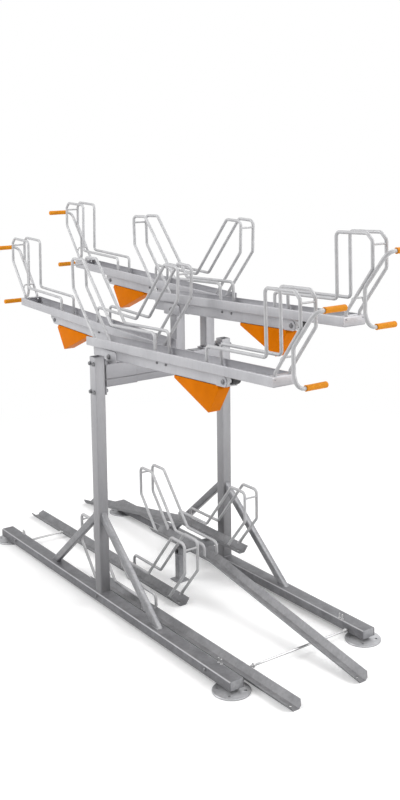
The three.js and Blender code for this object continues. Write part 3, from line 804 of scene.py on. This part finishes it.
lanes = (("right_low", 0, 1), ("left_low", 0, -1), ("right_high", 1, 1), ("left_high", 1, -1))
gutter_runs = (
    [(gutter_reach, 0, 0), (-gutter_inner, 0, 0)],
    [(gutter_reach, 0, 0), (ramp_start, 0, ramp_top), (-gutter_inner, 0, ramp_top)],
)
# Painted shade: the troughs' tones are dark to stand in for the shade on them.
gutter_zinc = dipped_finish("gutter_zinc", ((0.17, 0.17, 0.178), (0.25, 0.25, 0.258)))
lower_places = {lane: Matrix.Translation((0, lower_lane(level, side), 0)) @ side_turns[side]
                for lane, level, side in lanes}


def at_level(places, wanted):
    """Those of the lanes' places that are on the low level or the high one."""
    return {lane: places[lane] for lane, level, side in lanes if level == wanted}


for level, run in enumerate(gutter_runs):
    places = at_level(lower_places, level)
    set_up(places, "{}_trough", gutter(run), gutter_zinc, "zinc_grey", "frame", "lower_gutter_{}")


# The wheel guides are pairs of bent steel tubes, zinc bright, joined by a cross bar. A gutter's
# guide stands on its flared walls: the feet are cut to them and welded.
guide_tube = 0.008
guide_half_gap = 0.041
guide_bend = 0.026
cross_bar = 0.005
tube_bead = bead * 0.55
inner_top = 0.455
inner_run = 0.129
inner_shoulder = 0.293
inner_foot = 1.478
inner_back = 1.720
inner_crown = 1.600
inner_slope_end = 1.331
inner_front = 0.921
inner_cross_bar = 0.420
gutter_guide_shift = 1.320
gutter_guide_front = 1.055
gutter_guide_drop = 0.032
gutter_guide_shorter = 0.034
gutter_guide_lower = 0.045

bright_tube = metal_finish("bright_tube", ((0.42, 0.42, 0.43), (0.50, 0.50, 0.51)), 0.05, (0.003, 0.02),
                           metallic=0.25, shine=(0.46, 0.56), grain=(0.0009, 0.03))


def tube_rings(path, radius, sides=16):
    """Round rings along a path of places and headings, without twist."""
    heading = path[0][1]
    nearly_along_y = 0.9
    side = Vector((0, 1, 0)) if abs(heading.y) < nearly_along_y else Vector((1, 0, 0))
    rings = []
    for place, onward in path:
        side = (heading.rotation_difference(onward) @ side).normalized()
        heading = onward
        rings.append(circle(place, side, heading.cross(side), radius, sides))
    return rings


def cut_to(ring, heading, through, normal):
    """A ring slid along its tube onto the plane it stands on."""
    return [point + heading * ((through - point).dot(normal) / heading.dot(normal)) for point in ring]


def bent_tube(mesh, corners, radius, bend, feet=None):
    """A tube through the corners. feet gives the plane that both its ends are cut to."""
    path = bent_line(corners, bend, steps=6)
    rings = tube_rings(path, radius)
    if feet:
        through, normal = feet
        rings[0] = cut_to(rings[0], path[0][1], through, normal)
        rings[-1] = cut_to(rings[-1], path[-1][1], through, normal)
    skin(mesh, rings)
    if feet:
        weld(mesh, rings[0][::2], tube_bead)
        weld(mesh, rings[-1][::2], tube_bead)


def bar_between(mesh, start, end, radius=cross_bar):
    """A straight round bar with its ends run into what it joins."""
    start = Vector(start)
    end = Vector(end)
    run = (end - start).normalized()
    skin(mesh, tube_rings([(start, run), (end, run)], radius, sides=12))


def inner_guide(front, shorter, lower, foot_plane):
    """The hoop at a lane's inner end. foot_plane gives each of its tubes the plane it stands on."""
    back = inner_back - shorter
    crown = inner_crown - shorter
    top = inner_top - lower
    shoulder = inner_shoulder - lower
    corners = [(-inner_foot, 0), (-back, shoulder), (-back, top), (-crown, top),
               (-inner_slope_end, inner_run), (-front, inner_run), (-front, 0)]
    mesh = bmesh.new()
    for side in (-guide_half_gap, guide_half_gap):
        bent_tube(mesh, [(x, side, z) for x, z in corners], guide_tube, guide_bend, foot_plane(side))
    bar = inner_cross_bar - lower
    bar_between(mesh, (-back, -guide_half_gap, bar), (-back, guide_half_gap, bar))
    return mesh


wall_run = Vector((0, gutter_top_half - gutter_floor_half, gutter_height)).normalized()


def on_flared_wall(side):
    """The inner face of the gutter's wall on this side, in the guide's own frame."""
    toward = math.copysign(1, side)
    normal = Vector((0, -wall_run.z * toward, wall_run.y))
    foot_of_wall = Vector((0, gutter_floor_half * toward, gutter_guide_drop))
    return foot_of_wall + normal * (gutter_sheet + seat_gap), normal


lower_guide = inner_guide(gutter_guide_front, gutter_guide_shorter, gutter_guide_lower, on_flared_wall)
lower_shift = (gutter_guide_shift, 0, -gutter_guide_drop)
bmesh.ops.translate(lower_guide, verts=lower_guide.verts, vec=lower_shift)
hoop_places = {lane: lower_places[lane] @ Matrix.Translation((0, 0, level * ramp_top))
               for lane, level, side in lanes}
set_up(hoop_places, "{}_lower_hoop", lower_guide, bright_tube, "bright_tube", "frame", "lower_wheel_guide_{}")


# The guide rails are channels folded from galvanised steel sheet, open at the top, two low and two
# high. Each is held on the cross beam by a welded saddle with two cheeks and a through bolt, the
# high ones on a square riser with a foot plate and two bolts.
tray_tilt = math.radians(2)
tray_reach = 1.372
tray_base_height = 1.388
tray_rise = 0.210
rail_width = 0.066
rail_depth = 0.058
rail_sheet = 0.003
rail_bend = 0.007
rail_inner = 1.540
rail_floor_end = 0.440
rail_bolts = (-0.922, -0.844)
rail_bolt_drop = 0.018
rail_bolt = (0.010, 0.0045)
pivot_inset = 0.387
pivot_drop = 0.035
ear_radius = 0.026
ear_start = -66
block_back = 0.424
saddle_plate = 0.005
saddle_length = 0.150
saddle_height = 0.062
saddle_round = 0.022
saddle_base = 0.006
saddle_bead = bead / 2
saddle_ease = 0.001
saddle_bolt = (0.022, 0.007)
saddle_bolt_rise = 0.028
riser_size = 0.060
riser_wall = 0.003
riser_corner = 0.006
riser_flange = 0.096
riser_flange_plate = 0.008
riser_flange_ease = 0.0012
riser_bolt = (0.010, 0.005)

rolled_steel = rolled_finish("rolled_steel", ((0.42, 0.418, 0.438), (0.50, 0.498, 0.518)))
riser_steel = rolled_finish("riser_steel", ((0.33, 0.328, 0.345), (0.40, 0.398, 0.415)))
rail_top = -seat_gap
rail_bottom = rail_top - rail_depth
rail_half = rail_width / 2


def arc(centre, radius, start, end, steps):
    """Points along part of a circle, from one angle in degrees to another."""
    angles = [math.radians(start + (end - start) * i / steps) for i in range(steps + 1)]
    return [Vector(centre) + Vector((math.cos(a), math.sin(a))) * radius for a in angles]


def plate_across(mesh, outline, y_from, y_to, ease):
    """A plate with its outline in X and Z and its edges eased."""
    eased(mesh, along_y(mesh, outline, y_from, y_to), ease)


def rail_channel():
    """The rail's folded channel, with an ear for the hinge pin on each side of its mouth."""
    corners = [(-rail_half, rail_top), (-rail_half, rail_bottom), (rail_half, rail_bottom),
               (rail_half, rail_top)]
    mesh = bmesh.new()
    along_x(mesh, folded(corners, rail_sheet, rail_bend), -rail_inner, -rail_floor_end)
    ear = [Vector((-rail_floor_end, rail_top)), Vector((-rail_floor_end, rail_bottom))]
    ear += arc((-pivot_inset, -pivot_drop), ear_radius, ear_start, 90, steps=10)
    ear.append(Vector((-block_back, rail_top)))
    for side, low, high in either_side(rail_half - rail_sheet, rail_half):
        along_y(mesh, ear, low, high)
    return mesh


def saddle(mesh, base):
    """Two cheeks, a base and a through bolt, level on the beam or the riser."""
    back = -saddle_length / 2
    front = saddle_length / 2
    top = base + saddle_height
    line = bent_line([(back, base), (front, base), (front, top), (back, top)], saddle_round, steps=6)
    cheek = [spot for spot, heading in line]
    outside = rail_half + saddle_plate
    for side, low, high in either_side(rail_half - rail_sheet / 6, outside):
        plate_across(mesh, cheek, low, high, saddle_ease)
    block(mesh, (-cross_depth / 2, -outside, base), (cross_depth / 2, outside, base + saddle_base))
    for side in (-1, 1):
        bead_line = [(back + bead, side * outside, base + bead / 3),
                     (cross_depth / 2, side * outside, base + bead / 3),
                     (cross_depth / 2, side * outside, base), (back + bead, side * outside, base)]
        weld(mesh, bead_line, saddle_bead)


def riser():
    """A square tube with a foot plate, from the saddle down to the cross beam."""
    mesh = bmesh.new()
    foot = cross_top - tray_rise
    plate_top = foot + riser_flange_plate
    square_tube(mesh, (riser_size, riser_size), riser_wall, riser_corner,
                lambda point, z: (point.x, point.y, z), (foot, cross_top), [(plate_top, small_bead)])
    half = riser_size / 2
    flange_half = riser_flange / 2
    block(mesh, (-half, -flange_half, foot), (half, flange_half, plate_top), riser_flange_ease)
    return mesh


def tilted(mesh):
    """Moves a piece from the tray's own frame, whose origin is its outer end, to a low lane's."""
    bmesh.ops.transform(mesh, matrix=tray_frame, verts=mesh.verts)
    return mesh


tray_lift = Matrix.Translation((0, 0, tray_base_height))
tray_outward = Matrix.Translation((tray_reach / math.cos(tray_tilt), 0, 0))
tray_frame = tray_lift @ Matrix.Rotation(-tray_tilt, 4, "Y") @ tray_outward
upper_places = {lane: Matrix.Translation((0, upper_lane(level, side), level * tray_rise)) @ side_turns[side]
                for lane, level, side in lanes}

for level in (0, 1):
    rail = tilted(rail_channel())
    saddle(rail, cross_top)
    fasteners = bmesh.new()
    for side in (-1, 1):
        if level:
            spot = (0, side * (riser_flange + riser_size) / 4, cross_top - tray_rise + riser_flange_plate)
            hex_bolt(fasteners, spot, (0, 0, 1), *riser_bolt)
        spot = (0, side * (rail_half + saddle_plate), cross_top + saddle_bolt_rise)
        hex_bolt(fasteners, spot, (0, side, 0), *saddle_bolt)
        for x in rail_bolts:
            spot = tray_frame @ Vector((x, side * rail_half, -rail_bolt_drop))
            hex_bolt(fasteners, spot, (0, side, 0), *rail_bolt)
    places = at_level(upper_places, level)
    set_up(places, "{}_channel", rail, rolled_steel, "light_steel", "frame", "rail_{}")
    set_up(places, "{}_channel_bolts", fasteners, dark_zinc, "bright_tube", "frame")
set_up(at_level(upper_places, 1), "{}_riser", riser(), riser_steel, "light_steel", "frame")


# The pivot block is cast steel, galvanised. It hangs between the rail's ears on a hinge pin and
# carries the roller in its fork. Its cheeks are cast with the back, and bolts hold the pin's ends.
block_front = 0.365
block_floor = 0.057
block_top = 0.002
roller_radius = 0.022
roller_width = 0.044
roller_inset = 0.345
roller_side = 0.001
cheek_radius = 0.013
cheek_ease = 0.0015
back_ease = 0.002
pin_radius = 0.008
pin_tip_radius = pin_radius * 0.86
pin_proud = 0.005
pin_chamfer = 0.0012
pin_bolt_across = 0.019
axle_radius = 0.006
axle_collar = axle_radius * 1.3
collar_root = 0.001
collar_rim = 0.0005
collar_face = 0.0012

cast_zinc = metal_finish("cast_zinc", ((0.40, 0.40, 0.41), (0.52, 0.52, 0.53)), 0.02, (0.005, 0.05),
                         shine=(0.36, 0.5), grain=(0.0007, 0.25))
block_half = rail_half - rail_sheet - seat_gap
fork_half = roller_width / 2 + roller_side
roller_height = -seat_gap - roller_radius
roller_centre = Vector((-roller_inset, roller_height))
fork_cheek = [Vector((-block_back, -block_top)), Vector((-block_back, -block_floor)),
              Vector((-block_front, -block_floor))]
fork_cheek += arc(roller_centre, cheek_radius, -90, 90, steps=10) + [Vector((-block_front, -block_top))]
fork_back = -roller_inset - roller_radius - roller_side
pivot = bmesh.new()
for side, low, high in either_side(fork_half, block_half):
    plate_across(pivot, fork_cheek, low, high, cheek_ease)
back_half = fork_half + seat_gap
block(pivot, (-block_back, -back_half, -block_floor), (fork_back, back_half, -block_top), back_ease)
pin_end = rail_half + pin_proud
pin_tip = (pin_tip_radius, pin_end)
pin_rim = (pin_radius, pin_end - pin_chamfer)
pin = [(radius, -along) for radius, along in (pin_tip, pin_rim)] + [pin_rim, pin_tip]
pivot_at = Vector((-pivot_inset, 0, -pivot_drop))
turned(pivot, pin, pivot_at, (0, 1, 0), sides=32)
collar = [(axle_collar, -collar_root), (axle_collar, collar_rim), (axle_radius, collar_face)]
pin_bolts = bmesh.new()
for side in (-1, 1):
    spot = pivot_at + Vector((0, side * (rail_half + seat_gap), 0))
    hex_bolt(pin_bolts, spot, (0, side, 0), pin_bolt_across, pin_proud)
    turned(pivot, collar, (-roller_inset, side * block_half, roller_height), (0, side, 0), sides=20)
axle_half = fork_half + collar_rim
axle = [(axle_radius, -axle_half), (axle_radius, axle_half)]
turned(pivot, axle, (-roller_inset, 0, roller_height), (0, 1, 0), sides=20)
set_up(upper_places, "{}_pivot", tilted(pivot), cast_zinc, "light_steel", "block_{}", "pivot_block_{}")
set_up(upper_places, "{}_pivot_bolts", tilted(pin_bolts), dark_zinc, "bright_tube", "block_{}")


# The roller under each tray is black plastic, moulded with rounded rims, two shallow grooves
# and a bushed bore. It turns on the axle in the fork of the pivot block.
roller_rim = 0.003
roller_groove = 0.0012
roller_dish = 0.001
roller_groove_share = 0.45
roller_edge_shares = (0.6, 0.62, 0.8, 0.82)


def plastic_finish(name, tones, patch, shine, grain, gloss=0.5):
    """Moulded plastic or paint: two close tones, a soft gloss and a stippled skin."""
    material, drawn, base = clouded(name, tones, patch, shine, grain, depth=4, rough=0.55, spread=0.2, fine=2)
    shader = material.node_tree.nodes["Principled BSDF"].inputs
    material.node_tree.links.new(base, shader["Base Color"])
    shader["Specular IOR Level"].default_value = gloss
    return material


black_plastic = plastic_finish("black_plastic", ((0.018, 0.018, 0.02), (0.032, 0.032, 0.034)),
                               patch=0.01, shine=(0.4, 0.52), grain=(0.0006, 0.2))
bore = axle_radius + seat_gap
roller_face = -roller_width / 2
hub_edge, dish_start, dish_end, rim_edge = [roller_radius * share for share in roller_edge_shares]
rim_round = roller_rim * 0.3
tread = [(bore, roller_face), (hub_edge, roller_face), (dish_start, roller_face + roller_dish),
         (dish_end, roller_face + roller_dish), (rim_edge, roller_face),
         (roller_radius - roller_rim, roller_face), (roller_radius - rim_round, roller_face + rim_round),
         (roller_radius, roller_face + roller_rim)]
side_face = tread[:]
groove_floor = roller_radius - roller_groove
for middle in (roller_face * roller_groove_share, roller_face * -roller_groove_share):
    tread += [(roller_radius, middle - 2 * roller_groove), (groove_floor, middle - roller_groove),
              (groove_floor, middle + roller_groove), (roller_radius, middle + 2 * roller_groove)]
tread += [(radius, -along) for radius, along in reversed(side_face)]
roller = bmesh.new()
turned(roller, tread, (-roller_inset, 0, roller_height), (0, 1, 0), sides=48, ends="looped")
set_up(upper_places, "{}_roller", tilted(roller), black_plastic, "black_plastic", "wheel_{}", "roller_{}")


# The covers under the rails' ends are folded from thin steel sheet, powder coated orange, open
# at the top, and riveted to the rail's sides near the pivot and at the back.
cover_inner = 0.776
cover_outer = 0.433
cover_hip = 0.422
cover_hip_drop = 0.016
cover_apex = 0.505
cover_apex_drop = 0.138
cover_back_drop = 0.013
cover_sheet = 0.002
strip_inset = cover_sheet * 0.9
cover_bend = 0.004
cover_ease = 0.0006
rivet_radius = 0.0045
rivet_dome = ((1, 0), (0.9, 0.3), (0.55, 0.5))
cover_rivets = ((-0.460, 0.012), (-0.730, 0.010))

orange_coat = plastic_finish("orange_coat", ((0.56, 0.142, 0.0), (0.64, 0.168, 0.0)),
                             patch=0.08, shine=(0.36, 0.46), grain=(0.0013, 0.10), gloss=0.03)
cover_top = rail_bottom - seat_gap
cover_line = [(-cover_inner, cover_top), (-cover_inner, cover_top - cover_back_drop),
              (-cover_apex, cover_top - cover_apex_drop), (-cover_hip, cover_top - cover_hip_drop),
              (-cover_outer, cover_top)]
cover = bmesh.new()
strip_half = rail_half - strip_inset
along_y(cover, folded(cover_line, cover_sheet, cover_bend), -strip_half, strip_half)
cover_side = [spot for spot, heading in bent_line(cover_line, cover_bend, steps=4)]
rivet = [(rivet_radius * across, rivet_radius * rise) for across, rise in rivet_dome]
for side, low, high in either_side(rail_half - cover_sheet, rail_half):
    plate_across(cover, cover_side, low, high, cover_ease)
    for x, drop in cover_rivets:
        turned(cover, rivet, (x, side * rail_half, cover_top - drop), (0, side, 0), sides=16)
set_up(upper_places, "{}_hood", tilted(cover), orange_coat, "orange_sheet", "frame", "cover_{}")


# The trays are shallow channels folded from galvanised sheet, with lips turned in and an end plate
# with a top flange screwed in at the outer end. They slide on the rail and tip over the roller.
tray_length = 1.560
tray_width = 0.130
tray_height = 0.047
tray_sheet = 0.003
tray_lip = 0.008
tray_bend = 0.0045
end_flange = 0.030
end_hole = 0.004
end_hole_inset = 0.011
end_flange_bend = 0.005
end_ease = 0.0005

tray_half = tray_width / 2
tray_corners = [(-tray_half + tray_lip, tray_height), (-tray_half, tray_height), (-tray_half, 0),
                (tray_half, 0), (tray_half, tray_height), (tray_half - tray_lip, tray_height)]
tray = bmesh.new()
along_x(tray, folded(tray_corners, tray_sheet, tray_bend), -tray_length, 0)
plate_half = tray_half - tray_sheet + seat_gap
end_fold = folded([(0, seat_gap), (0, tray_height), (-end_flange, tray_height)], tray_sheet, end_flange_bend)
end_piece = bmesh.new()
plate_across(end_piece, end_fold, -plate_half, plate_half, end_ease)
end_holes = bmesh.new()
hole_height = tray_height - end_hole_inset - end_hole
for side in (-1, 1):
    spot = (0, side * (plate_half - end_hole_inset), hole_height)
    turned(end_holes, [(end_hole, -2 * tray_sheet), (end_hole, 2 * tray_sheet)], spot, (1, 0, 0), sides=20)
drilled(end_piece, end_holes, tray)
set_up(upper_places, "{}_channel_tray", tilted(tray), rolled_steel, "light_steel", "carrier_{}", "tray_{}")


# Each tray carries an inner wheel guide, bent from the same steel tube as a gutter's and of the
# full height, with its feet welded to the tray's floor.
tray_floor = Vector((0, 0, tray_sheet + seat_gap))
tray_guide = inner_guide(inner_front, 0, 0, lambda side: (tray_floor, Vector((0, 0, 1))))
set_up(upper_places, "{}_inner_hoop", tilted(tray_guide), bright_tube, "bright_tube", "carrier_{}",
       "inner_guide_{}")


# The outer wheel guide is a pair of steel tubes bent up and over and down to the tray's end, with
# an arch and a cross bar between them. The thicker handle tube is welded outside one.
outer_foot = 0.493
outer_run = 0.117
outer_upright = 0.064
outer_top = 0.412
outer_overhang = 0.156
outer_chamfer = 0.030
outer_shoulder = 0.262
outer_landing = 0.010
outer_knee = 0.060
outer_bend = 0.021
arch_height = 0.125
arch_shoulder = 0.093
arch_out = 0.020
arch_inset = 0.011
arch_bend = 0.010
outer_cross_bar = 0.365
handle_tube = 0.009
handle_bend = 0.040
handle_lower_out = 0.127
handle_lower_height = 0.008
handle_face_out = 0.108
handle_face_foot = 0.070
handle_face_top = 0.180
handle_upper_out = 0.247
handle_upper_height = 0.340
handle_stub = 0.025
grip_start = 0.004
grip_length = 0.118


def outer_guide():
    """Both bent tubes, what joins them, and the handle tube, as one welded piece."""
    corners = [(-outer_foot, tray_sheet + seat_gap), (-outer_foot, outer_run), (-outer_upright, outer_run),
               (-outer_upright, outer_top), (outer_overhang - outer_chamfer, outer_top),
               (outer_overhang, outer_top - outer_chamfer), (outer_overhang, outer_shoulder),
               (-outer_landing, outer_knee), (-outer_landing, tray_height + seat_gap)]
    mesh = bmesh.new()
    for side in (-guide_half_gap, guide_half_gap):
        bent_tube(mesh, [(x, side, z) for x, z in corners], guide_tube, outer_bend)
    arch_top = guide_half_gap - arch_inset
    arch = [(arch_out, -guide_half_gap, arch_shoulder), (arch_out, -arch_top, arch_height),
            (arch_out, arch_top, arch_height), (arch_out, guide_half_gap, arch_shoulder)]
    bent_tube(mesh, arch, cross_bar, arch_bend)
    bar_between(mesh, (outer_overhang, -guide_half_gap, outer_cross_bar),
                (outer_overhang, guide_half_gap, outer_cross_bar))
    grip_end = grip_start + grip_length - handle_stub
    handle = [(handle_lower_out, grip_end, handle_lower_height),
              (handle_lower_out, -guide_half_gap, handle_lower_height),
              (handle_face_out, -guide_half_gap, handle_face_foot),
              (handle_face_out, -guide_half_gap, handle_face_top),
              (handle_upper_out, -guide_half_gap, handle_upper_height),
              (handle_upper_out, grip_end, handle_upper_height)]
    bent_tube(mesh, handle, handle_tube, handle_bend)
    return mesh


set_up(upper_places, "{}_outer_hoop", tilted(outer_guide()), bright_tube, "bright_tube", "carrier_{}",
       "outer_guide_{}")


# The grips are sleeves moulded from soft orange plastic and pushed over the ends of the handle
# tube, closed and rounded at the far end, with a rolled lip at the open one.
grip_radius = 0.014
grip_round = 0.006
grip_lip = 0.003
grip_waist = 0.955
grip_waist_shares = (0.2, 0.4, 0.6, 0.75, 0.87)
orange_grip = plastic_finish("orange_grip", ((0.64, 0.22, 0.002), (0.71, 0.26, 0.004)),
                             patch=0.03, shine=(0.5, 0.62), grain=(0.0009, 0.25), gloss=0.2)
sleeve = [(handle_tube + seat_gap, 0), (grip_radius - grip_lip / 2, 0), (grip_radius, grip_lip / 2)]
sleeve += [(grip_radius, grip_lip), (grip_radius * grip_waist, grip_lip * 2)]
round_end = arc((grip_radius - grip_round, grip_length - grip_round), grip_round, 0, 90, steps=6)
waist = [(grip_radius * (grip_waist + (1 - grip_waist) * share ** 2), grip_length * share)
         for share in grip_waist_shares]
grip = bmesh.new()
inside = [(handle_tube + seat_gap, grip_length - handle_stub + seat_gap)]
turned(grip, inside + sleeve + waist + round_end, (0, grip_start, 0), (0, 1, 0), sides=32)
grip_places = {}
for name, spot in (("upper", (handle_upper_out, 0, handle_upper_height)),
                   ("lower", (handle_lower_out, 0, handle_lower_height))):
    shift = Matrix.Translation(tray_frame @ Vector(spot))
    grip_places.update({f"{lane} {name}": place @ shift for lane, place in upper_places.items()})
set_up(grip_places, "{}_{}_sleeve", grip, orange_grip, "orange_grip", "carrier_{}", "{1}_grip_{0}")
